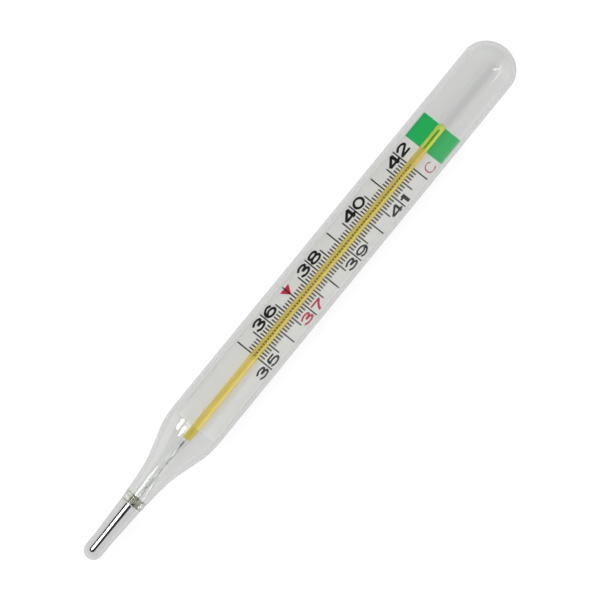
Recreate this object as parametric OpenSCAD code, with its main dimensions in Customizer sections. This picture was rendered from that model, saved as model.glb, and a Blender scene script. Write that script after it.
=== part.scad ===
// Clinical maximum thermometer with an enclosed scale.
// A thin glass bulb of liquid metal is fused, through a folded ring of glass, to an oval glass sheath.
// A clear stem leads from the bulb to a yellow capillary, which lies on a white scale plate in the sheath.
// A constriction in the stem parts the thread from the bulb, so the thread keeps its highest reading.
// The long axis is X, from the bulb to the round top, and the scale faces +Z.
// Stations are counted from the tip of the bulb. Every piece is then shifted so that the origin lies
// under the middle of the part, on the surface that the sheath rests on.

/* [Bulb] */
// Diameter of the bulb's parallel part
bulb_d = 3.88; // [3.6:0.02:4.4]
// Length of the bulb's parallel part, above its round tip
bulb_parallel_l = 3; // [2:0.5:7]
// Length of the bulb, from its tip to the seal
bulb_l = 13.4; // [11:0.1:16]
// Diameter of the bulb where it meets the seal
bulb_top_d = 4.58; // [4.4:0.02:5]
// Thickness of the bulb's glass
bulb_wall = 0.35; // [0.25:0.05:0.5]
// Thickness of the glass between the bulb's room and the stem
bulb_crown = 0.2; // [0.15:0.05:1]
// Gap between the liquid metal and the bulb's glass
fill_gap = 0.02; // [0.01:0.01:0.05]

/* [Seal] */
// Length of the folded ring between the bulb and the sheath
seal_l = 2; // [1.6:0.1:3.2]
// Number of folds along the ring
seal_folds = 3; // [2:1:5]
// Depth of the folds
seal_fold_depth = 0.06; // [0.02:0.01:0.1]
// Gap between the ring and the stem's foot inside it
seal_gap = 0.03; // [0.02:0.01:0.1]

/* [Sheath] */
// Width of the oval tube, across the scale
sheath_w = 11.74; // [11:0.02:13]
// Thickness of the oval tube, from front to back
sheath_h = 9.2; // [8.6:0.1:10.4]
// Thickness of the tube's glass
sheath_wall = 0.6; // [0.5:0.05:0.8]
// Outer diameter of the round neck, at the seal
neck_d = 4.95; // [4.8:0.01:5.4]
// Length of the shoulder, from the seal to the full width
shoulder_l = 18.1; // [14:0.1:22]
// Length of clear tube above the scale plate
head_l = 14.9; // [8:0.1:25]
// Length of the round top
dome_l = 5.5; // [4:0.1:8]
// Thickness of the glass at the very top
dome_wall = 0.7; // [0.6:0.1:2]

/* [Stem and capillary] */
// Length of the clear stem, from the bulb to the capillary
stem_l = 16.9; // [14:0.1:20]
// Half the play between the stem's foot and the inside of the neck
stem_neck_gap = 0.55; // [0.45:0.05:0.7]
// Length over which the stem tapers from its foot to its waist
stem_taper_l = 6.4; // [4:0.1:8]
// Diameter of the stem's drawn waist
stem_waist_d = 1.1; // [0.9:0.05:1.4]
// Length over which the stem widens again to the capillary
stem_flare_l = 2.2; // [1.5:0.1:3]
// Diameter of the yellow capillary
capillary_d = 1.74; // [1.5:0.02:2]
// Diameter of the bore, in the capillary and in the stem
bore_d = 0.3; // [0.24:0.02:0.4]
// Glass between the end of the bore and the capillary's top
capillary_tip = 1.4; // [1:0.1:2.5]
// How far the capillary stands past the upper end of the scale plate
capillary_overhang = 0.2; // [0:0.1:2]
// Diameter of the bore in the constriction
constriction_d = 0.1; // [0.06:0.02:0.16]
// Length of the constriction
constriction_l = 1; // [0.6:0.1:2]
// Distance of the constriction above the bulb
constriction_at = 9.4; // [8:0.1:12]

/* [Thread] */
// Gap between the liquid thread and the bore
thread_gap = 0.04; // [0.03:0.01:0.06]
// Gap between the resting thread and the constriction
thread_rest_gap = 0.1; // [0.05:0.05:0.5]
// How far the thread stands below the first mark when it is shaken down
thread_low = 22; // [1:0.1:24]

/* [Scale] */
// Temperature at the first mark, in degrees
first_degree = 35; // [34:1:36]
// Temperature at the last mark, in degrees
last_degree = 42; // [40:1:44]
// Length of one degree along the scale
degree_l = 7.04; // [6:0.02:8]
// How far the bore and the scale lie off the sheath's middle, towards the odd numerals
scale_shift = 0.27; // [0:0.01:0.35]
// Thickness of the scale plate
plate_t = 0.25; // [0.2:0.05:0.5]
// Gap between the plate's nearer edge and the inside of the sheath
plate_edge_gap = 0.05; // [0.04:0.01:0.2]
// How far the plate reaches down into the shoulder
plate_lap = 0.4; // [0:0.1:0.8]
// Plate below the first mark
foot_margin = 18.6; // [14:0.1:24]
// Plate between the last mark and the green band
head_margin = 4.2; // [2:0.1:8]
// Length of the green band at the plate's upper end
band_l = 6.2; // [3:0.1:9]
// Bare plate between the end of the green band and the plate's long edge
band_edge = 0.02; // [0:0.02:0.5]
// Thickness of the printed ink
ink_t = 0.03; // [0.02:0.01:0.05]
// Gap between the ink and the capillary above it
ink_gap = 0.02; // [0.01:0.01:0.1]
// Bare strip under the capillary, between the two rows of marks
print_gap = 0.78; // [0.3:0.02:1.6]
// Line width of the marks
mark_w = 0.28; // [0.16:0.02:0.3]
// Bare plate between the end of a degree mark and the plate's long edge
degree_edge = 0.25; // [0.1:0.05:0.6]
// Reach of a half degree mark from the middle of the scale
half_reach = 3.3; // [2.6:0.1:3.8]
// Reach of a tenth mark from the middle of the scale
tenth_reach = 1.95; // [1.4:0.05:2.4]
// Temperature that the red pointer marks, in degrees
pointer_degree = 37; // [36:1:39]
// Width of the red pointer's base
pointer_w = 2.6; // [1.6:0.1:3]
// Height of the red pointer
pointer_h = 1.9; // [1:0.1:2]
// Distance of the pointer's tip from the middle of the scale
pointer_reach = 2.05; // [1.5:0.05:2.6]

/* [Hidden] */
$fn = 64;
// Sides of the lofted sheath, a multiple of four so that it rests on a flat side
sheath_sides = 44;
// Steps of each smooth curve
curve_steps = 7;
fold_steps = 8;
// How far a cut reaches past both ends of the piece that it goes through
cut_past = 1;
tenths = 10;

// Stations along the long axis, from the tip of the bulb
seal_top = bulb_l + seal_l;
shoulder_top = seal_top + shoulder_l;
plate_start = shoulder_top - plate_lap;
first_mark = plate_start + foot_margin;
last_mark = first_mark + (last_degree - first_degree) * degree_l;
plate_end = last_mark + head_margin + band_l;
tube_top = plate_end + head_l;
total_l = tube_top + dome_l;
stem_top = bulb_l + stem_l;
capillary_end = plate_end + capillary_overhang;
constriction_start = bulb_l + constriction_at;
thread_start = constriction_start + constriction_l + thread_rest_gap;
thread_end = first_mark - thread_low;

// Radii about the long axis
bulb_r = bulb_d / 2;
neck_r = neck_d / 2;
capillary_r = capillary_d / 2;
bore_r = bore_d / 2;
thread_r = bore_r - thread_gap;
stem_foot_r = neck_r - sheath_wall - stem_neck_gap;
stem_waist_r = stem_waist_d / 2;

// The plate lies behind the capillary, and its width is what the oval leaves at that depth
axis_h = sheath_h / 2;
plate_face = -capillary_r - ink_gap - ink_t;
plate_back = plate_face - plate_t;
room_w = sheath_w / 2 - sheath_wall;
room_h = sheath_h / 2 - sheath_wall;
plate_half_w = room_w * sqrt(1 - pow(plate_back / room_h, 2)) - scale_shift - plate_edge_gap;
degree_reach = plate_half_w - degree_edge;
band_reach = plate_half_w - band_edge;

// The shoulder's S, as two cubic curves: share of its length against share of its growth in width
shoulder_foot = [[0, 0], [0.375, 0.118], [0.474, 0.365], [0.554, 0.489]];
shoulder_head = [[0.554, 0.489], [0.716, 0.739], [0.79, 0.975], [1, 1]];

// Point of a cubic curve at u, from 0 to 1
function cubic(p, u) =
    p[0] * pow(1 - u, 3) + p[1] * 3 * u * pow(1 - u, 2) + p[2] * 3 * u * u * (1 - u) + p[3] * pow(u, 3);

// Smooth change from a to b as u goes from 0 to 1
function ease(a, b, u) = a + (b - a) * u * u * (3 - 2 * u);

// Station of the mark that stands a number of tenths above the first
function mark_at(tenth) = first_mark + tenth * degree_l / tenths;

// Moves a piece from stations on the long axis to the part's own origin, and aside by a shift
module placed(shift = 0) {
    translate([-total_l / 2, -shift, axis_h])
        children();
}

// Turns a half profile, drawn as radius against station, about the long axis or a line beside it
module turned(shift = 0) {
    placed(shift)
        rotate([0, 90, 0])
            rotate_extrude()
                children();
}

// Half profile of the bulb, drawn in by inset and cut off at top
module bulb_profile(inset, top) {
    r = bulb_r - inset;
    parallel_end = bulb_r + bulb_parallel_l;
    slope = (bulb_top_d / 2 - bulb_r) / (bulb_l - parallel_end);
    intersection() {
        union() {
            translate([0, bulb_r])
                circle(r);
            translate([0, bulb_r])
                square([r, bulb_parallel_l]);
            polygon([
                [0, parallel_end],
                [r, parallel_end],
                [r + slope * (top - parallel_end), top],
                [0, top]
            ]);
        }
        square([bulb_top_d, bulb_l]);
    }
}

// Half profile of a round rod from one station to another, with one or both ends domed
module rod_profile(r, from, to, dome_from = false) {
    intersection() {
        union() {
            translate([0, to - r])
                circle(r);
            if (dome_from)
                translate([0, from + r])
                    circle(r);
            translate([0, dome_from ? from + r : from])
                square([r, to - from - (dome_from ? 2 : 1) * r]);
        }
        square([r, to]);
    }
}

module bulb_glass() {
    color([0.86, 0.88, 0.89])
        difference() {
            turned()
                difference() {
                    bulb_profile(0, bulb_l);
                    bulb_profile(bulb_wall, bulb_l - bulb_crown);
                }
            turned(scale_shift)
                translate([0, bulb_r])
                    square([bore_r, bulb_l]);
        }
}

// Liquid metal in the bulb, and up the bore as far as the constriction
module reservoir_fill() {
    color([0.72, 0.73, 0.74])
        union() {
            turned()
                bulb_profile(bulb_wall + fill_gap, bulb_l - bulb_crown - fill_gap);
            turned(scale_shift)
                translate([0, bulb_r])
                    square([thread_r, constriction_start - thread_rest_gap - bulb_r]);
        }
}

// Folded ring where the sheath's neck is fused to the bulb
module neck_seal() {
    steps = seal_folds * fold_steps;
    folds = [
        for (k = [0:steps])
            [
                bulb_top_d / 2 + (neck_r - bulb_top_d / 2) * k / steps
                    - seal_fold_depth * (1 - cos(360 * k / fold_steps)) / 2,
                bulb_l + seal_l * k / steps
            ]
    ];
    color([0.45, 0.47, 0.38])
        difference() {
            turned()
                polygon(concat(folds, [[0, seal_top], [0, bulb_l]]));
            turned(scale_shift)
                translate([0, bulb_l - cut_past])
                    square([stem_foot_r + seal_gap, seal_l + 2 * cut_past]);
        }
}

// Clear stem, drawn to a thin waist, with the constriction in its bore
module lower_stem() {
    constriction_r = constriction_d / 2;
    constriction_end = constriction_start + constriction_l;
    lead = constriction_l / 4;
    taper = [
        for (k = [0:curve_steps])
            [ease(stem_foot_r, stem_waist_r, k / curve_steps), seal_top + stem_taper_l * k / curve_steps]
    ];
    flare = [
        for (k = [0:curve_steps])
            [
                ease(stem_waist_r, capillary_r, k / curve_steps),
                stem_top - stem_flare_l * (1 - k / curve_steps)
            ]
    ];
    bore = [
        [bore_r, stem_top],
        [bore_r, constriction_end],
        [constriction_r, constriction_end - lead],
        [constriction_r, constriction_start + lead],
        [bore_r, constriction_start],
        [bore_r, bulb_l]
    ];
    color([0.88, 0.90, 0.90])
        turned(scale_shift)
            polygon(concat([[stem_foot_r, bulb_l]], taper, flare, bore));
}

module capillary() {
    color([0.85, 0.72, 0.20])
        turned(scale_shift)
            difference() {
                rod_profile(capillary_r, stem_top, capillary_end);
                rod_profile(bore_r, stem_top, capillary_end - capillary_tip);
            }
}

// Thread of liquid metal above the constriction, shaken down
module thread() {
    color([0.66, 0.67, 0.68])
        turned(scale_shift)
            rod_profile(thread_r, thread_start, thread_end, dome_from = true);
}

module scale_plate() {
    color([0.90, 0.90, 0.88])
        placed(scale_shift)
            translate([plate_start, -plate_half_w, plate_back])
                cube([plate_end - plate_start, 2 * plate_half_w, plate_t]);
}

// A patch of ink on both sides of the bare strip, from a station onwards, out to its reach
module ink_pair(from, length, reach) {
    placed(scale_shift)
        for (side = [0, 1])
            mirror([0, side, 0])
                translate([from, print_gap / 2, plate_face])
                    cube([length, reach - print_gap / 2, ink_t]);
}

// Row of marks: every step tenths, leaving out those that stand at a multiple of skip
module mark_row(step, skip, reach) {
    color([0.10, 0.10, 0.10])
        for (tenth = [0:step:(last_degree - first_degree) * tenths])
            if (skip == 0 || tenth % skip != 0)
                ink_pair(mark_at(tenth) - mark_w / 2, mark_w, reach);
}

module tenth_marks() {
    mark_row(1, tenths / 2, tenth_reach);
}

module half_degree_marks() {
    mark_row(tenths / 2, tenths, half_reach);
}

module degree_marks() {
    mark_row(tenths, 0, degree_reach);
}

// Red triangle that points at normal body heat, parted by the black mark that runs through it
module red_pointer() {
    slope = pointer_h / (pointer_w / 2);
    color([0.80, 0.13, 0.27])
        placed(scale_shift)
            for (side = [0, 1])
                translate([mark_at((pointer_degree - first_degree) * tenths), pointer_reach, plate_face])
                    mirror([side, 0, 0])
                        linear_extrude(ink_t)
                            polygon([
                                [mark_w / 2, slope * mark_w / 2],
                                [pointer_w / 2, pointer_h],
                                [mark_w / 2, pointer_h]
                            ]);
}

module green_band() {
    color([0.12, 0.62, 0.30])
        ink_pair(plate_end - band_l, band_l, band_reach);
}

// One hollow loft through oval rings. Each ring is a station, a half width and a half height.
// The rings run down the inside from the top to the neck's mouth and back up the outside.
module glass_sheath() {
    shoulder = concat(
        [for (k = [0:curve_steps]) cubic(shoulder_foot, k / curve_steps)],
        [for (k = [1:curve_steps]) cubic(shoulder_head, k / curve_steps)]
    );
    tube = [
        for (p = shoulder)
            [
                seal_top + p[0] * shoulder_l,
                neck_r + p[1] * (sheath_w / 2 - neck_r),
                neck_r + p[1] * (sheath_h / 2 - neck_r)
            ]
    ];
    dome_angles = [for (k = [0:curve_steps - 1]) 90 * k / curve_steps];
    dome = [
        for (a = dome_angles)
            [tube_top + dome_l * sin(a), sheath_w / 2 * cos(a), sheath_h / 2 * cos(a)]
    ];
    room_tube = [for (ring = tube) ring - [0, sheath_wall, sheath_wall]];
    room_dome = [
        for (a = dome_angles)
            [tube_top + (dome_l - dome_wall) * sin(a), room_w * cos(a), room_h * cos(a)]
    ];
    room = concat(room_tube, room_dome);
    rings = concat([for (k = [len(room) - 1:-1:0]) room[k]], tube, dome);
    // The flat sides touch the true oval, so the corners stand a little outside it
    corner = 1 / cos(180 / sheath_sides);
    points = concat(
        [
            for (ring = rings, k = [0:sheath_sides - 1])
                let (a = (k + 0.5) * 360 / sheath_sides)
                    [ring[0], ring[1] * corner * cos(a), ring[2] * corner * sin(a)]
        ],
        [[total_l - dome_wall, 0, 0], [total_l, 0, 0]]
    );
    last_ring = (len(rings) - 1) * sheath_sides;
    room_top = len(points) - 2;
    outer_top = len(points) - 1;
    faces = concat(
        [for (k = [0:sheath_sides - 1]) [room_top, k, (k + 1) % sheath_sides]],
        [
            for (ring = [0:len(rings) - 2], k = [0:sheath_sides - 1], half = [0, 1])
                let (
                    here = ring * sheath_sides,
                    there = here + sheath_sides,
                    next = (k + 1) % sheath_sides
                )
                    half == 0 ? [here + k, there + k, there + next] : [here + k, there + next, here + next]
        ],
        [for (k = [0:sheath_sides - 1]) [outer_top, last_ring + (k + 1) % sheath_sides, last_ring + k]]
    );
    color([0.80, 0.84, 0.86, 0.35])
        placed()
            polyhedron(points, faces, convexity = 4);
}

bulb_glass();
reservoir_fill();
neck_seal();
lower_stem();
capillary();
thread();
scale_plate();
tenth_marks();
half_degree_marks();
degree_marks();
red_pointer();
green_band();
glass_sheath();
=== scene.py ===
from math import cos, pi, radians, sin

import bpy
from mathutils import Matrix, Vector


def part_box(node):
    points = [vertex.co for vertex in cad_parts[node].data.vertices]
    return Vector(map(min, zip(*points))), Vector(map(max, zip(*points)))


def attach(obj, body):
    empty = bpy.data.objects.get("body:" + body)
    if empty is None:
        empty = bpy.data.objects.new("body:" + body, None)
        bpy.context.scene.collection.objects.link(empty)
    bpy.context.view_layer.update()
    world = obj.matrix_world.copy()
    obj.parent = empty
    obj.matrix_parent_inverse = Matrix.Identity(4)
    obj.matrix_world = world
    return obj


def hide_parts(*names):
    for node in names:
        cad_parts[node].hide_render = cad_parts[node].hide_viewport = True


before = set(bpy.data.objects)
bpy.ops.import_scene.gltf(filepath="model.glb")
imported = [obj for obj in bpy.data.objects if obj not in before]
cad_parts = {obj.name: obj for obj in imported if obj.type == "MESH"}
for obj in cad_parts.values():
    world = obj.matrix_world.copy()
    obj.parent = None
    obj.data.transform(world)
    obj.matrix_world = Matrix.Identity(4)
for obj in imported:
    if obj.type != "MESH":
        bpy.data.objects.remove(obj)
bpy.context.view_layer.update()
bpy.context.scene.view_settings.view_transform = "Standard"


# Liquid metal in the bulb
# A bright silvery liquid that fills the bulb and stands up the bore as far as the constriction.
# It is drawn in before the glass is sealed, and lies against the glass with no gap.
MM = 0.001
BULB_LOW, BULB_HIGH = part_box("bulb_glass")
SHEATH_LOW, SHEATH_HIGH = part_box("glass_sheath")
TIP_X = BULB_LOW.x
AXIS_Z = (SHEATH_LOW.z + SHEATH_HIGH.z) / 2
# The bore lies a little beside the long axis, towards the odd numerals
BORE_LINE = (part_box("capillary")[0].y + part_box("capillary")[1].y) / 2 / MM
BULB_R = 1.94
BULB_PARALLEL_END = 4.94
BULB_LENGTH = (BULB_HIGH.x - TIP_X) / MM
BULB_TOP_R = (BULB_HIGH.y - BULB_LOW.y) / 2 / MM
BULB_WALL = 0.35
BULB_CROWN = 0.2
BORE_R = 0.15
CONSTRICTION_START = 22.8
# The liquid reaches this far into the glass, so that no air shows between them
WETTING = 0.004
# The column in the bore ends in a point over this length
FILL_TIP = 0.1
# A ring smaller than this is a point
POINT_R = WETTING / 10
ARC_STEPS = 14
ROUND_SIDES = 64
# Faces that meet at more than this angle, in degrees, keep a sharp edge
SHARP_ANGLE = 40
NOISE_DETAIL = 3.0


def at(station):
    """Place on the long axis, in metres, of a station in millimetres from the bulb's tip."""
    return TIP_X + station * MM


def arc(centre, radius, start, end, steps=ARC_STEPS):
    """Stations and radii of a round end. The angle is 0 towards the bulb's tip and 90 square to the axis."""
    angles = [radians(start + (end - start) * k / steps) for k in range(steps + 1)]
    return [(centre - radius * cos(a), radius * max(sin(a), 0.0)) for a in angles]


def drawn(name, rings, sides=ROUND_SIDES, line=0.0):
    """Draws a body along the long axis, ring by ring, and returns its object.
    A ring is a station with a radius, or with a half width, a half height and its own line, in millimetres.
    The line is how far its middle lies from the long axis. A first or last ring of no width is a pole,
    and a last ring like the first closes the body on itself."""
    rings = [ring if len(ring) == 4 else (ring[0], ring[1], ring[-1], line) for ring in rings]
    pole = rings[0][1] < POINT_R
    start = rings[1] if pole else rings[0]
    bpy.ops.object.select_all(action="DESELECT")
    bpy.ops.mesh.primitive_circle_add(
        vertices=sides,
        fill_type="TRIFAN" if pole else "NOTHING",
        location=(at(start[0]), start[3] * MM, AXIS_Z),
        rotation=(0, pi / 2, 0),
    )
    body = bpy.context.object
    body.name = body.data.name = name
    body.scale = (start[2] * MM, start[1] * MM, 1)
    bpy.ops.object.transform_apply()
    bpy.ops.object.mode_set(mode="EDIT")
    bpy.ops.mesh.select_all(action="SELECT")
    if pole:
        bpy.ops.mesh.select_all(action="DESELECT")
        bpy.ops.mesh.select_non_manifold()
        bpy.ops.mesh.select_all(action="INVERT")
        bpy.ops.transform.translate(value=((rings[0][0] - start[0]) * MM, 0, 0))
        bpy.ops.mesh.select_all(action="INVERT")
    last = start
    for ring in rings[2 if pole else 1:]:
        step = ((ring[0] - last[0]) * MM, (ring[3] - last[3]) * MM, 0)
        bpy.ops.mesh.extrude_region_move(TRANSFORM_OT_translate={"value": step})
        if ring[1] < POINT_R:
            bpy.ops.mesh.merge(type="CENTER")
        else:
            bpy.ops.transform.resize(
                value=(1, ring[1] / last[1], ring[2] / last[2]),
                center_override=(at(ring[0]), ring[3] * MM, AXIS_Z),
            )
        last = ring
    bpy.ops.mesh.select_all(action="SELECT")
    bpy.ops.mesh.remove_doubles(threshold=POINT_R * MM)
    bpy.ops.mesh.normals_make_consistent(inside=False)
    bpy.ops.object.mode_set(mode="OBJECT")
    bpy.ops.object.shade_smooth_by_angle(angle=radians(SHARP_ANGLE))
    return body


def bulb_rings(inset, top):
    """Rings of the bulb's shape, drawn in by inset and ending at the station top."""
    slope = (BULB_TOP_R - BULB_R) / (BULB_LENGTH - BULB_PARALLEL_END)
    return arc(BULB_R, BULB_R - inset, 0, 90) + [
        (BULB_PARALLEL_END, BULB_R - inset),
        (top, BULB_R - inset + slope * (top - BULB_PARALLEL_END)),
    ]


class Wire:
    """One socket of a shader's tree. Operators add Math nodes, and node adds any other node."""

    def __init__(self, tree, socket=None):
        self.tree = tree
        self.socket = socket

    def node(self, kind, settings=None, values=None, out=0):
        made = self.tree.nodes.new("ShaderNode" + kind)
        for name, value in (settings or {}).items():
            setattr(made, name, value)
        for name, value in (values or {}).items():
            socket = pick(made.inputs, name)
            if isinstance(value, Wire):
                self.tree.links.new(value.socket, socket)
            else:
                socket.default_value = value
        return Wire(self.tree, pick(made.outputs, out)) if made.outputs else None

    def math(self, operation, first, second=0):
        return self.node("Math", {"operation": operation}, {0: first, 1: second})

    def __add__(self, other):
        return self.math("ADD", self, other)

    def __radd__(self, other):
        return self.math("ADD", other, self)

    def __sub__(self, other):
        return self.math("SUBTRACT", self, other)

    def __rsub__(self, other):
        return self.math("SUBTRACT", other, self)

    def __mul__(self, other):
        return self.math("MULTIPLY", self, other)

    def __rmul__(self, other):
        return self.math("MULTIPLY", other, self)


def pick(sockets, name):
    """A node's socket by its number, or by its name among those in use."""
    if isinstance(name, int):
        return sockets[name]
    return next(socket for socket in sockets if socket.enabled and socket.name == name)


def new_finish(name):
    """An empty material and the start of its shader."""
    material = bpy.data.materials.new(name)
    material.use_nodes = True
    material.node_tree.nodes.clear()
    return material, Wire(material.node_tree)


def cloud(shader, size):
    """Soft noise from 0 to 1 whose patches are about as large as size, in millimetres."""
    place = shader.node("TexCoord", out="Object")
    return shader.node("TexNoise", {}, {"Vector": place, "Scale": 1 / (size * MM), "Detail": NOISE_DETAIL})


def between(shader, factor, first, second):
    """Colour that goes from the first to the second with the factor."""
    first, second = (c if isinstance(c, Wire) else (*c, 1) for c in (first, second))
    return shader.node("Mix", {"data_type": "RGBA"}, {"Factor": factor, "A": first, "B": second}, "Result")


def ramp(shader, value, start, end):
    """Smooth change from 0, where the value is start, to 1, where it is end."""
    limits = {"Value": value, "From Min": start, "From Max": end}
    return shader.node("MapRange", {"interpolation_type": "SMOOTHSTEP"}, limits)


def coat_in(piece, material):
    """Gives a piece its one material."""
    piece.data.materials.clear()
    piece.data.materials.append(material)


METAL_PALE = (0.685, 0.687, 0.685)
METAL_DULL = (0.645, 0.647, 0.645)
METAL_STREAK = 1.5
METAL_ROUGHNESS = 0.02
STREAK_ROUGHNESS = 0.05
liquid_metal, shader = new_finish("bright_liquid_metal")
streaks = cloud(shader, METAL_STREAK)
surface = shader.node("BsdfPrincipled", {}, {
    "Base Color": between(shader, streaks, METAL_PALE, METAL_DULL),
    "Metallic": 1.0,
    "Roughness": streaks * STREAK_ROUGHNESS + METAL_ROUGHNESS,
})
shader.node("OutputMaterial", {}, {"Surface": surface})

fill_top = BULB_LENGTH - BULB_CROWN + WETTING
fill_rings = bulb_rings(BULB_WALL - WETTING, fill_top)
fill_column_r = BORE_R + WETTING
fill_rings += [
    (fill_top, fill_column_r, fill_column_r, BORE_LINE),
    (CONSTRICTION_START - FILL_TIP, fill_column_r, fill_column_r, BORE_LINE),
    (CONSTRICTION_START, 0, 0, BORE_LINE),
]
metal_fill = drawn("metal_fill", fill_rings)
coat_in(metal_fill, liquid_metal)
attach(metal_fill, "glass_body")
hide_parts("reservoir_fill")


# Bulb
# A thin closed glass with a round tip, a short parallel part and then a slight cone.
# It is blown at the end of the stem, whose bore opens into it.
BULB_CLEAR = (0.98, 0.985, 0.98)
BULB_CLOUDED = (0.96, 0.965, 0.96)
# Painted shade: the glass turns this grey towards its rim
BULB_RIM_SHADE_PAINTED = (0.92, 0.92, 0.915)
BULB_LAMP_TINT = (0.97, 0.98, 0.98)
GLASS_SOAK = (0.80, 0.805, 0.80, 1)
GLASS_IOR = 1.5
GLASS_CLOUD = 4.0


def towards_rim(shader, start, end):
    """Goes from 0 where a glass is seen straight on to 1 at its rim, between two slants."""
    return ramp(shader, shader.node("LayerWeight", {}, {"Blend": 0.5}, "Facing"), start, end)


def glass(name, colouring, lamp_tint, soaking=0.0, smear=0.012, rim=(0.5, 1.0), rim_shade=0.55, core=None):
    """Polished glass, coloured by a function of the shader, that soaks up light on its way through.
    Lamps shine through it with a tint, and less through its rim, between two slants. A core is a function
    that says where else less of their light comes through."""
    material, shader = new_finish(name)
    clear = shader.node("BsdfPrincipled", {}, {
        "Base Color": colouring(shader),
        "Roughness": cloud(shader, GLASS_CLOUD) * smear,
        "IOR": GLASS_IOR,
        "Transmission Weight": 1.0,
    })
    lamp_ray = shader.node("LightPath", out="Is Shadow Ray")
    soft_ray = shader.node("LightPath", out="Is Diffuse Ray")
    blocking = towards_rim(shader, *rim)
    if core:
        blocking = shader.math("MAXIMUM", blocking, core(shader))
    passing = shader.node("MixShader", {}, {
        0: blocking,
        1: shader.node("BsdfTransparent", {}, {"Color": (*lamp_tint, 1)}),
        2: shader.node("BsdfTransparent", {}, {"Color": (rim_shade, rim_shade, rim_shade, 1)}),
    })
    factor = shader.math("MAXIMUM", lamp_ray, soft_ray)
    ends = {"Surface": shader.node("MixShader", {}, {0: factor, 1: clear, 2: passing})}
    if soaking:
        soaked = {"Color": GLASS_SOAK, "Density": soaking / MM}
        ends["Volume"] = shader.node("VolumeAbsorption", {}, soaked)
    shader.node("OutputMaterial", {}, ends)
    return material


def bulb_tint(shader):
    """Almost clear, in faint clouds, and a little greyer at the rim, where the grey is painted shade."""
    clear = between(shader, cloud(shader, GLASS_CLOUD), BULB_CLEAR, BULB_CLOUDED)
    return between(shader, towards_rim(shader, start=0.3, end=0.8), clear, BULB_RIM_SHADE_PAINTED)


bulb_cavity = bulb_rings(BULB_WALL, BULB_LENGTH - BULB_CROWN)
bulb_bore = [(station, BORE_R, BORE_R, BORE_LINE) for station in (BULB_LENGTH, BULB_LENGTH - BULB_CROWN)]
blown_bulb = drawn("blown_bulb", bulb_rings(0, BULB_LENGTH) + bulb_bore + bulb_cavity[::-1])
coat_in(blown_bulb, glass("bulb_glass_clear", bulb_tint, BULB_LAMP_TINT, soaking=0.8))
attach(blown_bulb, "glass_body")
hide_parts("bulb_glass")


# Folded seal
# A short ring of glass in which the bulb and the neck of the sheath are fused together.
# The soft glass folds as it is pushed together in the flame, and dark streaks are painted round the ring as
# the dark reflections in the folds.
SEAL_LENGTH = (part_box("neck_seal")[1].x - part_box("neck_seal")[0].x) / MM
SEAL_TOP = BULB_LENGTH + SEAL_LENGTH
NECK_R = 2.475
STEM_FOOT_R = 1.325
# The hole in the seal is this much wider than the stem's foot
SEAL_GAP = 0.03
SEAL_HOLE_R = STEM_FOOT_R + SEAL_GAP
SEAL_FOLDS = 3
FOLD_DEPTH = 0.008
FOLD_STEPS = 12
# Left between fused pieces, so that no two faces lie in one place
SEAM = 0.005
SEAL_PALE = (0.76, 0.77, 0.735)
# Painted dark reflections for the streaks, also used for the dark lip at the bulb
SEAL_DARK = (0.31, 0.32, 0.26)
SEAL_LAMP_TINT = (0.85, 0.86, 0.8)
# Width of the dark streaks, and how much longer they are round the ring than along it
STREAK_WIDTH = 0.5
STREAK_STRETCH = 3.0
STREAK_DETAIL = 2.0
# Levels of the noise at which a streak starts and is full
STREAK_LEVELS = (0.45, 0.58)
DARK_LIP = 0.45
seal_rings = []
for k in range(SEAL_FOLDS * FOLD_STEPS + 1):
    share = k / (SEAL_FOLDS * FOLD_STEPS)
    fold = FOLD_DEPTH * (1 - cos(2 * pi * SEAL_FOLDS * share)) / 2
    station = BULB_LENGTH + SEAM + (SEAL_LENGTH - 2 * SEAM) * share
    seal_rings.append((station, BULB_TOP_R + (NECK_R - BULB_TOP_R) * share - fold))
seal_hole = [(s, SEAL_HOLE_R, SEAL_HOLE_R, BORE_LINE) for s in (SEAL_TOP - SEAM, BULB_LENGTH + SEAM)]
folded_seal = drawn("folded_seal", seal_rings + seal_hole + seal_rings[:1])


def parts(shader, vector, axes):
    """The named parts of a vector: X along the thermometer, Y across it and Z up."""
    return [shader.node("SeparateXYZ", {}, {"Vector": vector}, axis) for axis in axes]


def seal_tint(shader):
    """Greyish glass with uneven dark streaks round the ring, painted as the folds' dark reflections, and a
    dark lip at the bulb.
    """
    place = shader.node("TexCoord", out="Object")
    along = parts(shader, place, "X")[0]
    squeeze = (1, 1 / STREAK_STRETCH, 1 / STREAK_STRETCH)
    pulled = shader.node("VectorMath", {"operation": "MULTIPLY"}, {0: place, 1: squeeze})
    grain = {"Vector": pulled, "Scale": 1 / (STREAK_WIDTH * MM), "Detail": STREAK_DETAIL}
    streaks = ramp(shader, shader.node("TexNoise", {}, grain), *STREAK_LEVELS)
    lip = ramp(shader, along, at(BULB_LENGTH + DARK_LIP), at(BULB_LENGTH + DARK_LIP / 2))
    return between(shader, shader.math("MAXIMUM", streaks, lip), SEAL_PALE, SEAL_DARK)


coat_in(folded_seal, glass("seal_glass_folded", seal_tint, SEAL_LAMP_TINT))
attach(folded_seal, "glass_body")
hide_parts("neck_seal")


# Clear stem
# A glass stem in the neck that tapers to a thin drawn waist and widens again to meet the capillary.
# Its bore has the constriction, which parts the thread from the bulb when the liquid shrinks.
STEM_TOP = (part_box("lower_stem")[1].x - TIP_X) / MM
STEM_TAPER = 6.4
STEM_WAIST_R = 0.55
STEM_FLARE = 2.2
CAPILLARY_R = 0.87
CONSTRICTION_R = 0.05
CONSTRICTION_LENGTH = 1.0
CURVE_STEPS = 16
STEM_CLEAR = (0.96, 0.97, 0.96)
STEM_CLOUDED = (0.93, 0.94, 0.93)
STEM_LAMP_TINT = (0.98, 0.98, 0.98)


def ease(first, second, share):
    """Smooth change from the first value to the second."""
    return first + (second - first) * share * share * (3 - 2 * share)


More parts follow.
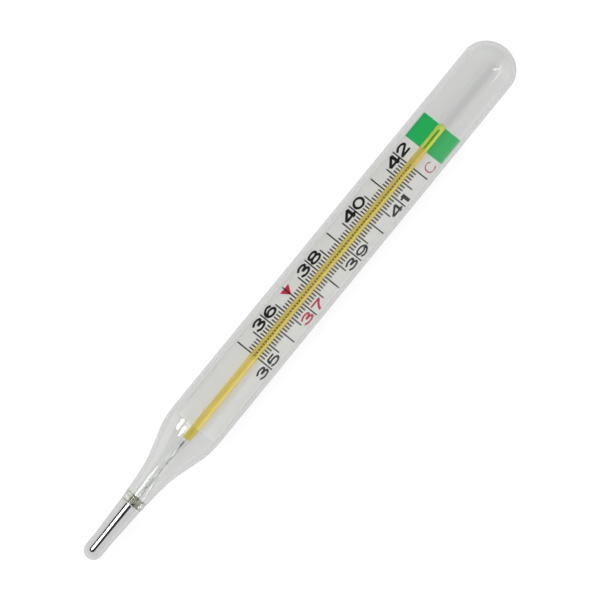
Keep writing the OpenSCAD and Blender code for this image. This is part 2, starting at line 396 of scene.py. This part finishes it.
stem_shares = [k / CURVE_STEPS for k in range(CURVE_STEPS + 1)]
stem_foot = BULB_LENGTH + SEAM
stem_end = STEM_TOP - SEAM
constriction_end = CONSTRICTION_START + CONSTRICTION_LENGTH
lead = CONSTRICTION_LENGTH / 4
stem_rings = [(stem_foot, STEM_FOOT_R)]
stem_rings += [(SEAL_TOP + STEM_TAPER * u, ease(STEM_FOOT_R, STEM_WAIST_R, u)) for u in stem_shares]
stem_rings += [(stem_end - STEM_FLARE * (1 - u), ease(STEM_WAIST_R, CAPILLARY_R, u)) for u in stem_shares]
stem_rings += [
    (stem_end, BORE_R),
    (constriction_end, BORE_R),
    (constriction_end - lead, CONSTRICTION_R),
    (CONSTRICTION_START + lead, CONSTRICTION_R),
    (CONSTRICTION_START, BORE_R),
    (stem_foot, BORE_R),
    (stem_foot, STEM_FOOT_R),
]
clear_stem = drawn("clear_stem", stem_rings, line=BORE_LINE)


def stem_tint(shader):
    """Almost clear, in faint clouds."""
    return between(shader, cloud(shader, GLASS_CLOUD), STEM_CLEAR, STEM_CLOUDED)


coat_in(clear_stem, glass("stem_glass_clear", stem_tint, STEM_LAMP_TINT))
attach(clear_stem, "glass_body")
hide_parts("lower_stem")


# Yellow capillary
# A rod of yellow glass, drawn with a fine bore and closed round at its top.
# It lies on the printed plate and is fused to the clear stem below.
CAPILLARY_END = (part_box("capillary")[1].x - TIP_X) / MM
CAPILLARY_TIP = 1.4
FIRST_DEGREE, LAST_DEGREE = 35, 42
FIRST_MARK = 51.7
DEGREE_LENGTH = 7.04
LAST_MARK = FIRST_MARK + (LAST_DEGREE - FIRST_DEGREE) * DEGREE_LENGTH
ROD_YELLOW = (1.0, 0.90, 0.32)
# Painted deeper yellow, for the scale's marks seen through the rod
ROD_MARKS_PAINTED = (0.81, 0.745, 0.225)
# Painted golden tone, for how the rod looks where no plate lies behind it
ROD_GOLDEN_PAINTED = (1.0, 0.80, 0.16)
# Painted shade at the rod's sides
ROD_SIDE_SHADE_PAINTED = (0.95, 0.80, 0.18)
# Painted green, for the green band seen through the rod
ROD_BAND_PAINTED = (0.68, 0.97, 0.22)
BORE_PALE = (1.0, 0.98, 0.82)
# Painted dark green, for the green band seen through the bore
BORE_BAND_PAINTED = (0.42, 0.66, 0.16)
# Painted dark dot, for a tenth mark seen through the bore
DOT_PAINTED_MARK = (0.04, 0.025, 0.005)
# As a lens the rod gathers the lamps' light below its middle
ROD_LAMP_TINT = (1.24, 1.16, 0.98)
ROD_CLOUD = 3.0
# Share of the painted deeper yellow over the scale, the rest being faint clouds
SCALE_SHARE = 0.8
# Lengths over which the rod's colour changes below the first mark, and where the plate and the band start
SCALE_FADE = 1.5
START_FADE = 0.2
# Distances from the bore's middle at which its own colour starts and is full
BORE_TINT_START, BORE_TINT_FULL = 2 * BORE_R, 1.3 * BORE_R
# Half widths of a dot, in tenths of a degree, where it starts and where it is full
DOT_START, DOT_FULL = 0.29, 0.19
# Heights over the bore's middle at which the dots start and are full
LOW_WALL_START, LOW_WALL_FULL = -0.05 * BORE_R, -0.2 * BORE_R
# The dots end this far outside the scale
DOT_MARGIN = 0.25
# Where the low flank starts and is full, across from the bore and up from it
FLANK_ACROSS = (-0.5 * CAPILLARY_R, -0.75 * CAPILLARY_R)
FLANK_UP = (0.1 * CAPILLARY_R, -0.2 * CAPILLARY_R)
# How far the flank takes on the rim's shade
FLANK_SHADE = 0.5
rod_bore = arc(CAPILLARY_END - CAPILLARY_TIP - BORE_R, BORE_R, 180, 90)
rod_outside = arc(CAPILLARY_END - CAPILLARY_R, CAPILLARY_R, 90, 180)
rod_rings = rod_bore + [(STEM_TOP, BORE_R), (STEM_TOP, CAPILLARY_R)] + rod_outside
yellow_capillary = drawn("yellow_capillary", rod_rings, line=BORE_LINE)


def rod_tint(shader):
    """Yellow in faint clouds, with painted colour on it for what shows through the glass: a deeper yellow
    over the scale's marks, a golden tone below the plate, where no plate lies behind, green over the band,
    and painted shade at the sides. The lower wall of the bore takes a painted dark dot over each tenth mark,
    as the mark would show in it."""
    along, across, up = parts(shader, shader.node("TexCoord", out="Object"), "XYZ")
    beside_scale = ramp(shader, along, at(FIRST_MARK - SCALE_FADE), at(FIRST_MARK))
    marks_and_clouds = beside_scale * SCALE_SHARE + cloud(shader, ROD_CLOUD) * (1 - SCALE_SHARE)
    yellow = between(shader, marks_and_clouds, ROD_YELLOW, ROD_MARKS_PAINTED)
    plate_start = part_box("scale_plate")[0].x
    fade = START_FADE / 2 * MM
    below_plate = ramp(shader, along, plate_start + fade, plate_start - fade)
    golden_painted = between(shader, below_plate, yellow, ROD_GOLDEN_PAINTED)
    side_shaded = between(shader, towards_rim(shader, start=0.35, end=0.85), golden_painted, ROD_SIDE_SHADE_PAINTED)
    beside = across - BORE_LINE * MM
    above = up - AXIS_Z
    from_bore = beside * beside + above * above
    in_bore = ramp(shader, from_bore, (BORE_TINT_START * MM) ** 2, (BORE_TINT_FULL * MM) ** 2)
    plain = between(shader, in_bore, side_shaded, BORE_PALE)
    band_painted = between(shader, in_bore, ROD_BAND_PAINTED, BORE_BAND_PAINTED)
    band_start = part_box("green_band")[0].x
    over_band = ramp(shader, along, band_start, band_start + START_FADE * MM)
    rod = between(shader, over_band, plain, band_painted)
    tenths = (along - at(FIRST_MARK)) * (10 / (DEGREE_LENGTH * MM)) + 0.5
    from_mark = shader.math("ABSOLUTE", shader.math("FRACT", tenths) - 0.5)
    from_middle = shader.math("ABSOLUTE", along - at((FIRST_MARK + LAST_MARK) / 2))
    reach = (LAST_MARK - FIRST_MARK) / 2
    on_scale = ramp(shader, from_middle, (reach + DOT_MARGIN) * MM, reach * MM)
    low_wall = ramp(shader, above, LOW_WALL_START * MM, LOW_WALL_FULL * MM)
    painted_dot = ramp(shader, from_mark, DOT_START, DOT_FULL) * on_scale * in_bore * low_wall
    return between(shader, painted_dot, rod, DOT_PAINTED_MARK)


def low_flank(shader):
    """The rod's lower side towards the odd numerals, behind which its soft shadow lies on the plate."""
    across, up = parts(shader, shader.node("TexCoord", out="Object"), "YZ")
    side = ramp(shader, across - BORE_LINE * MM, *(start * MM for start in FLANK_ACROSS))
    low = ramp(shader, up - AXIS_Z, *(start * MM for start in FLANK_UP))
    return side * low * FLANK_SHADE


coat_in(yellow_capillary, glass(
    "capillary_glass_yellow", rod_tint, ROD_LAMP_TINT, rim=(0.25, 0.6), rim_shade=0.12, core=low_flank
))
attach(yellow_capillary, "glass_body")
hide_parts("capillary")


# Thread
# The column of liquid metal above the constriction, with a round meniscus at each end.
# It rises in the bore as the bulb warms, and is the one piece that moves.
THREAD_START = (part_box("thread")[0].x - TIP_X) / MM
THREAD_END = (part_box("thread")[1].x - TIP_X) / MM
# Left round the thread, so that it slides clear of the bore
THREAD_GAP = 0.003
THREAD_R = BORE_R - THREAD_GAP
THREAD_SIDES = 32
thread_rings = arc(THREAD_START + THREAD_R, THREAD_R, 0, 90) + arc(THREAD_END - THREAD_R, THREAD_R, 90, 180)
metal_thread = drawn("metal_thread", thread_rings, THREAD_SIDES, BORE_LINE)
coat_in(metal_thread, liquid_metal)
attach(metal_thread, "liquid_thread")
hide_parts("thread")


# Scale plate
# A thin strip enamelled matt white, with slightly rounded corners and edges.
# It slides into the sheath behind the capillary and is held by the sheath's oval.
PLATE_LOW, PLATE_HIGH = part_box("scale_plate")
PLATE_CORNER = 0.4
CORNER_STEPS = 5
PLATE_EDGE = 0.06
EDGE_STEPS = 2
# In degrees: edges sharper than the first are rounded, and those past the second are shaded as sharp
ROUNDED_ANGLE = 60
PLATE_SHARP_ANGLE = 30
ENAMEL_WHITE = (0.87, 0.866, 0.85)
ENAMEL_AGED = (0.85, 0.846, 0.83)
MATT_GLOSS = 0.3
RELIEF_STRENGTH = 0.3
GRAIN_ROUGHNESS = 0.15
# Upward part of the normal at which the painted glow on an edge starts and is full
GLOW_SLANTS = (0.95, 0.4)
bpy.ops.object.select_all(action="DESELECT")
bpy.ops.mesh.primitive_cube_add(size=1, location=(PLATE_LOW + PLATE_HIGH) / 2)
white_plate = bpy.context.object
white_plate.name = white_plate.data.name = "white_plate"
white_plate.scale = PLATE_HIGH - PLATE_LOW
bpy.ops.object.transform_apply()
bpy.ops.object.mode_set(mode="EDIT")
bpy.ops.mesh.select_all(action="DESELECT")
bpy.ops.object.mode_set(mode="OBJECT")
for edge in white_plate.data.edges:
    ends = [white_plate.data.vertices[v].co for v in edge.vertices]
    edge.select = abs(ends[0].z - ends[1].z) > PLATE_EDGE * MM
bpy.ops.object.mode_set(mode="EDIT")
bpy.ops.mesh.select_mode(type="EDGE")
bpy.ops.mesh.bevel(offset=PLATE_CORNER * MM, segments=CORNER_STEPS, affect="EDGES")
bpy.ops.mesh.select_all(action="SELECT")
bpy.ops.mesh.select_mode(type="VERT")
bpy.ops.object.mode_set(mode="OBJECT")
bevel = white_plate.modifiers.new("edge", "BEVEL")
bevel.width = PLATE_EDGE * MM
bevel.segments = EDGE_STEPS
bevel.angle_limit = radians(ROUNDED_ANGLE)
bpy.ops.object.modifier_apply(modifier=bevel.name)
bpy.ops.object.shade_smooth_by_angle(angle=radians(PLATE_SHARP_ANGLE))


def matt(name, colour, other, patch, grain, roughness, relief, painted_edge_light=0.0):
    """Matt paint or ink: two near colours in soft patches, and a fine grain in its polish and relief.
    A pale enamel may take a glow of painted light on its edges, standing in for light it lets through to
    them."""
    material, shader = new_finish(name)
    specks = cloud(shader, grain)
    raised = {"Strength": RELIEF_STRENGTH, "Distance": relief * MM, "Height": specks}
    coat = {
        "Base Color": between(shader, cloud(shader, patch), colour, other),
        "Roughness": specks * GRAIN_ROUGHNESS + roughness,
        "Specular IOR Level": MATT_GLOSS,
        "Normal": shader.node("Bump", {}, raised),
    }
    # Painted light: the edges glow, which lightens their shade
    if painted_edge_light:
        facing = shader.node("NewGeometry", out="Normal")
        edge = ramp(shader, parts(shader, facing, "Z")[0], *GLOW_SLANTS)
        coat["Emission Color"] = between(shader, edge, (0, 0, 0), (painted_edge_light,) * 3)
        coat["Emission Strength"] = 1.0
    shader.node("OutputMaterial", {}, {"Surface": shader.node("BsdfPrincipled", {}, coat)})
    return material


# The plate's edges take a faint glow of painted light
plate_enamel = matt(
    "plate_enamel", ENAMEL_WHITE, ENAMEL_AGED,
    patch=6.0, grain=0.12, roughness=0.6, relief=0.01, painted_edge_light=0.12,
)
coat_in(white_plate, plate_enamel)
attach(white_plate, "glass_body")
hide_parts("scale_plate")


# Printed marks, pointer and band
# Black lines at each tenth, half and whole degree, a red pointer and a green end band.
# They are screen printed on the plate before it goes into the sheath.
PRINT = {"grain": 0.08, "roughness": 0.5, "relief": 0.004}
black_ink = matt("print_black", (0.004, 0.004, 0.005), (0.012, 0.012, 0.013), patch=0.6, **PRINT)
red_ink = matt("print_red", (0.60, 0.015, 0.06), (0.66, 0.025, 0.08), patch=0.6, **PRINT)
green_ink = matt("print_green", (0.008, 0.49, 0.11), (0.014, 0.53, 0.13), patch=2.0, **PRINT)
inks = {
    "tenth_marks": black_ink,
    "half_degree_marks": black_ink,
    "degree_marks": black_ink,
    "red_pointer": red_ink,
    "green_band": green_ink,
}
for node, ink in inks.items():
    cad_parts[node].material_slots[0].material = ink


# Numerals and unit letter
# Wide figures at each degree, even ones above the marks and odd ones below, and a thin letter C.
# Each figure is a few strokes of a flat nib, printed in the same inks as the marks.
INK_LOW, INK_HIGH = (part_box("degree_marks")[k].z for k in (0, 1))
# Signs are drawn narrower and then stretched by this, so that upright strokes come out wider than level ones
FIGURE_STRETCH = 1.45
# Widths of the figures, and how far each stands from the mark beside it
FIGURE_WIDTH = {"1": 1.5, "3": 2.75, "4": 2.95, "5": 2.66, "7": 2.66}
USUAL_WIDTH = 2.85
FIGURE_GAP = {"0": 0.28, "1": 0.31, "2": 0.2, "6": 0.25, "7": 0.45, "8": 0.22, "9": 0.3}
USUAL_GAP = 0.38
LINE, CURVE, RING = "line", "curve", "ring"
# Each stroke lies this much above the one before it, so that no two faces lie in one place
STROKE_RISE = 0.002
STROKE_STEPS = 10
# Strokes of each figure, through points of a cell one wide and one high
FIGURES = {
    "0": [(RING, (0.5, 1), (0, 0.5), (0.5, 0), (1, 0.5))],
    "1": [(LINE, (0.62, 0), (0.62, 1)), (CURVE, (0.1, 0.74), (0.42, 0.8), (0.6, 1))],
    "2": [
        (CURVE, (0.02, 0.7), (0.5, 1), (0.97, 0.72), (0.62, 0.4)),
        (LINE, (0.66, 0.43), (0, 0)),
        (LINE, (0, 0), (1, 0)),
    ],
    "3": [
        (CURVE, (0.04, 0.78), (0.5, 1), (0.95, 0.76), (0.42, 0.53)),
        (CURVE, (0.42, 0.53), (1, 0.27), (0.5, 0), (0, 0.22)),
    ],
    "4": [(LINE, (0.74, 0), (0.74, 1)), (LINE, (0.74, 1), (0, 0.27)), (LINE, (0, 0.25), (1, 0.25))],
    "5": [
        (LINE, (0.92, 1), (0.14, 1)),
        (LINE, (0.18, 1), (0.08, 0.46)),
        (CURVE, (0.08, 0.5), (0.5, 0.63), (1, 0.32), (0.48, 0), (0, 0.2)),
    ],
    "6": [(CURVE, (0.95, 0.8), (0.55, 1), (0.02, 0.45), (0.5, 0), (1, 0.31), (0.52, 0.61), (0.05, 0.36))],
    "7": [(LINE, (0, 1), (1, 1)), (CURVE, (0.98, 1), (0.55, 0.5), (0.36, 0))],
    "8": [
        (RING, (0.5, 1), (0.06, 0.765), (0.5, 0.53), (0.94, 0.765)),
        (RING, (0.5, 0.53), (0, 0.265), (0.5, 0), (1, 0.265)),
    ],
    "C": [(CURVE, (0.95, 0.8), (0.77, 0.95), (0.5, 1), (0.14, 0.86), (0, 0.5),
           (0.14, 0.14), (0.5, 0), (0.77, 0.05), (0.95, 0.2))],
}
FIGURES["9"] = [(kind, *((1 - x, 1 - y) for x, y in points)) for kind, *points in FIGURES["6"]]


def figure(sign, left, low, width, height, nib_width):
    """Prints one sign with its lower left corner at a station and a distance from the middle of the scale."""
    bpy.ops.object.select_all(action="DESELECT")
    nib_half = nib_width / 2 * MM
    ink_half = (INK_HIGH - INK_LOW) / 2
    nib = bpy.data.curves.new("nib", "CURVE")
    edge = nib.splines.new("POLY")
    edge.points.add(3)
    for point, (x, y) in zip(edge.points, ((-1, -1), (1, -1), (1, 1), (-1, 1))):
        point.co = (x * nib_half, y * ink_half, 0, 1)
    edge.use_cyclic_u = True
    nib_object = bpy.data.objects.new("nib", nib)
    bpy.context.scene.collection.objects.link(nib_object)
    strokes = bpy.data.curves.new("strokes", "CURVE")
    strokes.dimensions = "3D"
    strokes.twist_mode = "Z_UP"
    strokes.bevel_mode = "OBJECT"
    strokes.bevel_object = nib_object
    strokes.use_fill_caps = True
    strokes.resolution_u = STROKE_STEPS
    for level, (kind, *points) in enumerate(FIGURES[sign]):
        stroke = strokes.splines.new("BEZIER")
        stroke.bezier_points.add(len(points) - 1)
        stroke.use_cyclic_u = kind == RING
        for knot, (x, y) in zip(stroke.bezier_points, points):
            knot.co = (x * width / FIGURE_STRETCH * MM, y * height * MM, level * STROKE_RISE * MM)
            knot.handle_left_type = knot.handle_right_type = "VECTOR" if kind == LINE else "AUTO"
    sign_object = bpy.data.objects.new("sign", strokes)
    bpy.context.scene.collection.objects.link(sign_object)
    sign_object.select_set(True)
    bpy.context.view_layer.objects.active = sign_object
    bpy.ops.object.convert(target="MESH")
    bpy.data.objects.remove(nib_object)
    printed = bpy.context.object
    corner = Vector(printed.bound_box[0])
    spread = Vector(printed.bound_box[6]) - corner
    printed.scale = (width * MM / spread.x, height * MM / spread.y, 1)
    printed.location = (
        at(left) - corner.x * printed.scale.x,
        low * MM - corner.y * printed.scale.y,
        (INK_LOW + INK_HIGH) / 2,
    )
    bpy.ops.object.transform_apply()
    return printed


def printed_row(name, signs, ink):
    """Joins printed signs into one piece."""
    bpy.ops.object.select_all(action="DESELECT")
    for sign in signs:
        sign.select_set(True)
    bpy.context.view_layer.objects.active = signs[0]
    bpy.ops.object.join()
    row = bpy.context.object
    row.name = row.data.name = name
    bpy.ops.object.mode_set(mode="EDIT")
    bpy.ops.mesh.select_all(action="SELECT")
    bpy.ops.mesh.remove_doubles(threshold=POINT_R * MM)
    bpy.ops.mesh.normals_make_consistent(inside=False)
    bpy.ops.object.mode_set(mode="OBJECT")
    coat_in(row, ink)
    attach(row, "glass_body")


def degree_figures(degree, low, height, nib_width, four_gap):
    """The two figures of a degree, one on each side of its mark."""
    mark = FIRST_MARK + (degree - FIRST_DEGREE) * DEGREE_LENGTH
    figures = []
    for sign, side in zip(str(degree), (-1, 1)):
        width = FIGURE_WIDTH.get(sign, USUAL_WIDTH)
        gap = four_gap if sign == "4" else FIGURE_GAP.get(sign, USUAL_GAP)
        left = mark + gap if side > 0 else mark - gap - width
        figures.append(figure(sign, left, low, width, height, nib_width))
    return figures


RED_DEGREE = 37
# Each row's lower edge from the middle of the scale, and how far a 4 in it stands from its mark
UPPER = {"low": 1.90, "height": 2.24, "nib_width": 0.52, "four_gap": 0.15}
LOWER = {"low": -4.57, "height": 1.93, "nib_width": 0.42, "four_gap": 0.34}
UNIT_LETTER = {"left": 102.15, "low": -4.6, "width": 2.1, "height": 2.1, "nib_width": 0.19}
even_degrees = range(FIRST_DEGREE + 1, LAST_DEGREE + 1, 2)
odd_degrees = [degree for degree in range(FIRST_DEGREE, LAST_DEGREE, 2) if degree != RED_DEGREE]
black_signs = [sign for degree in even_degrees for sign in degree_figures(degree, **UPPER)]
black_signs += [sign for degree in odd_degrees for sign in degree_figures(degree, **LOWER)]
red_signs = degree_figures(RED_DEGREE, **LOWER)
red_signs.append(figure("C", **UNIT_LETTER))
printed_row("black_numerals", black_signs, black_ink)
printed_row("red_numerals", red_signs, red_ink)


# Glass sheath
# The clear oval tube round the whole scale, with an S-shaped shoulder down to the neck.
# It is drawn from tube, closed to a round top, and fused to the seal at its mouth.
SHEATH_HALF_W = 5.87
SHEATH_HALF_H = AXIS_Z / MM
SHEATH_WALL = 0.6
SHOULDER_LENGTH = 18.1
DOME_LENGTH = 5.5
DOME_WALL = 0.7
TUBE_TOP = (SHEATH_HIGH.x - TIP_X) / MM - DOME_LENGTH
SHEATH_SIDES = 112
SHEATH_CLEAR = (0.995, 0.997, 0.993)
SHEATH_CLOUDED = (0.985, 0.987, 0.983)
# Painted shade: the glass turns this grey towards its rim
SHEATH_RIM_SHADE_PAINTED = (0.77, 0.77, 0.768)
SHEATH_LAMP_TINT = (0.985, 0.987, 0.985)
SHEATH_CLOUD = 9.0
# The strip that the sheath rests on: its line beside the long axis, the depth below the axis at which
# it is full, and how much of that depth each millimetre beside the line takes away
STRIP_LINE = -0.5
STRIP_DEPTH = 2.5
STRIP_NARROWING = 3.2
# The shoulder's S as two cubic curves: share of its length against share of its growth in width
SHOULDER_FOOT = ((0, 0), (0.375, 0.118), (0.474, 0.365), (0.554, 0.489))
SHOULDER_HEAD = ((0.554, 0.489), (0.716, 0.739), (0.79, 0.975), (1, 1))


def cubic(points, u):
    """Point of a cubic curve at u, from 0 to 1."""
    weights = ((1 - u) ** 3, 3 * u * (1 - u) ** 2, 3 * u * u * (1 - u), u ** 3)
    return tuple(sum(w * p[k] for w, p in zip(weights, points)) for k in (0, 1))


def sheath_rings(inset, dome_length):
    """Rings of the sheath from its mouth to its top, drawn in by inset."""
    curve = [cubic(SHOULDER_FOOT, u) for u in stem_shares]
    curve += [cubic(SHOULDER_HEAD, u) for u in stem_shares[1:]]
    rings = []
    for share, growth in curve:
        half_w = NECK_R + growth * (SHEATH_HALF_W - NECK_R) - inset
        half_h = NECK_R + growth * (SHEATH_HALF_H - NECK_R) - inset
        rings.append((SEAL_TOP + share * SHOULDER_LENGTH, half_w, half_h))
    for along, across in arc(0, 1, 90, 180, 2 * ARC_STEPS):
        half_w = across * (SHEATH_HALF_W - inset)
        half_h = across * (SHEATH_HALF_H - inset)
        rings.append((TUBE_TOP + along * dome_length, half_w, half_h))
    return rings


room_rings = sheath_rings(SHEATH_WALL, DOME_LENGTH - DOME_WALL)
oval_sheath = drawn("oval_sheath", room_rings[::-1] + sheath_rings(0, DOME_LENGTH), SHEATH_SIDES)


def sheath_tint(shader):
    """Almost clear in the middle, in faint clouds, and greyer at the rim, where the grey is painted shade."""
    clear = between(shader, cloud(shader, SHEATH_CLOUD), SHEATH_CLEAR, SHEATH_CLOUDED)
    return between(shader, towards_rim(shader, start=0.2, end=0.9), clear, SHEATH_RIM_SHADE_PAINTED)


def lowest_strip(shader):
    """The strip along the sheath's underside, which as a lens draws light away from the floor below."""
    across, up = parts(shader, shader.node("TexCoord", out="Object"), "YZ")
    beside = shader.math("ABSOLUTE", across - STRIP_LINE * MM)
    return ramp(shader, AXIS_Z - up - beside * STRIP_NARROWING, 0, STRIP_DEPTH * MM)


coat_in(oval_sheath, glass(
    "sheath_glass_clear", sheath_tint, SHEATH_LAMP_TINT,
    soaking=1.45, smear=0.006, rim=(0.7, 1.0), core=lowest_strip,
))
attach(oval_sheath, "glass_body")
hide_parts("glass_sheath")


# Floor
# A plain white card that the thermometer lies on. It takes the soft shadow, and its own glow
# towards the camera, and in mirrors and glass, brings it up to white.
FLOOR_SIZE = 4.0
FLOOR_DROP = 0.02
FLOOR_GLOW = 0.78
CARD_GREY = (0.28, 0.28, 0.28)
CARD_DARKER = (0.27, 0.27, 0.27)
CARD_CLOUD = 40.0
CARD_ROUGHNESS = 0.9
bpy.ops.object.select_all(action="DESELECT")
bpy.ops.mesh.primitive_plane_add(size=FLOOR_SIZE, location=(0, 0, -FLOOR_DROP * MM))
floor = bpy.context.object
floor.name = floor.data.name = "white_card"
card, shader = new_finish("white_card")
seen = shader.node("LightPath", out="Is Camera Ray")
for ray in ("Is Glossy Ray", "Is Transmission Ray"):
    seen = shader.math("MAXIMUM", seen, shader.node("LightPath", out=ray))
glow = between(shader, seen, (0, 0, 0), (FLOOR_GLOW,) * 3)
surface = shader.node("BsdfPrincipled", {}, {
    "Base Color": between(shader, cloud(shader, CARD_CLOUD), CARD_GREY, CARD_DARKER),
    "Roughness": CARD_ROUGHNESS,
    "Specular IOR Level": 0.0,
    "Emission Color": glow,
    "Emission Strength": 1.0,
})
shader.node("OutputMaterial", {}, {"Surface": surface})
coat_in(floor, card)


# Studio
# Pale walls stand round the bulb's end of the table under a dark ceiling, so that the glass shows edges.
# The other end is dark on the side of the even numerals, so that no veil lies on the scale, and partly
# dark on the other side.
WALL_GLOW = 1.0
CEILING_GLOW = 0.06
WALL_LEAN = 0.26
WALL_TOP = 0.81
WALL_SOFT = 0.02
DARK_END = 0.02
DARK_SIDE = -0.25
DARK_SIDE_SOFT = 0.1
DARK_REST = 0.35
world = bpy.data.worlds.new("studio")
bpy.context.scene.world = world
world.use_nodes = True
world.node_tree.nodes.clear()
shader = Wire(world.node_tree)
along, side, up = parts(shader, shader.node("TexCoord", out="Generated"), "XYZ")
ceiling = ramp(shader, up + side * WALL_LEAN, WALL_TOP - WALL_SOFT, WALL_TOP + WALL_SOFT)
far_end = ramp(shader, along, DARK_END - WALL_SOFT / 2, DARK_END + WALL_SOFT / 2)
even_side = ramp(shader, side, DARK_SIDE - DARK_SIDE_SOFT / 2, DARK_SIDE + DARK_SIDE_SOFT / 2)
dark = shader.math("MAXIMUM", ceiling, far_end * (even_side * (1 - DARK_REST) + DARK_REST))
room = between(shader, dark, (WALL_GLOW,) * 3, (CEILING_GLOW,) * 3)
seen = shader.node("LightPath", out="Is Camera Ray")
shown = between(shader, seen, room, (1, 1, 1))
glowing = shader.node("Background", {}, {"Color": shown})
shader.node("OutputWorld", {}, {"Surface": glowing})


# Lamps
# Level panels. On the even side a soft one makes the stripe on the metal, two bright ones the neck's line
# and a small low one the spots on the shoulder. A slim one gives the round top its slanting highlight.
# Two large ones that show in no mirror light the plate, and the one at the side throws the soft shadows.
def panel(name, ends, sides, height, radiance, mirrored=True, lighting=True, turned=0):
    """Hangs a level lamp between two ends along the thermometer and two sides across it, in metres.
    It may show in mirrors only, or not in them, and may be turned on the spot, in degrees."""
    middle = (sum(ends) / 2, sum(sides) / 2, height)
    bpy.ops.object.light_add(type="AREA", location=middle)
    hung = bpy.context.object
    hung.name = hung.data.name = name
    hung.rotation_euler.z = radians(turned)
    hung.data.shape = "RECTANGLE"
    hung.data.size = ends[1] - ends[0]
    hung.data.size_y = sides[1] - sides[0]
    hung.data.energy = radiance * pi * hung.data.size * hung.data.size_y
    hung.visible_camera = False
    hung.visible_glossy = hung.visible_transmission = mirrored
    hung.visible_diffuse = lighting


panel("soft_box", (-0.13, -0.04), (0.0775, 0.33), 0.60, 2.5)
panel("neck_lamp", (-0.158, -0.08), (0.185, 0.29), 0.59, 12)
panel("long_neck_lamp", (-0.2, -0.158), (0.205, 0.27), 0.59, 18, lighting=False)
panel("shoulder_lamp", (-0.0575, -0.0355), (0.068, 0.103), 0.10, 10, lighting=False)
panel("top_lamp", (0.265, 0.301), (-0.54, -0.30), 0.60, 16, turned=-9)
panel("side_lamp", (-0.5, 0.3), (0.42, 0.72), 0.70, 6.9, mirrored=False)
panel("wide_lamp", (-0.3, 0.5), (-0.4, 0.1), 0.70, 1.4, mirrored=False)


# Camera
# It stands almost straight above, as in the photograph, with the bulb at the lower left.
# Its rise and turn are in degrees, and its long lens, in millimetres, keeps the two ends alike in scale.
CAMERA_TARGET = Vector((0.5302, 0.125, 0)) * MM
CAMERA_DISTANCE = 525.9 * MM
CAMERA_RISE = 82.5
CAMERA_TURN = -140.95
CAMERA_LENS = 157.29
rise, turn = radians(CAMERA_RISE), radians(CAMERA_TURN)
towards = Vector((cos(rise) * cos(turn), cos(rise) * sin(turn), sin(rise)))
bpy.ops.object.camera_add(location=CAMERA_TARGET + towards * CAMERA_DISTANCE)
camera = bpy.context.object
camera.rotation_mode = "QUATERNION"
camera.rotation_quaternion = (-towards).to_track_quat("-Z", "Y")
camera.data.lens = CAMERA_LENS
bpy.context.scene.camera = camera
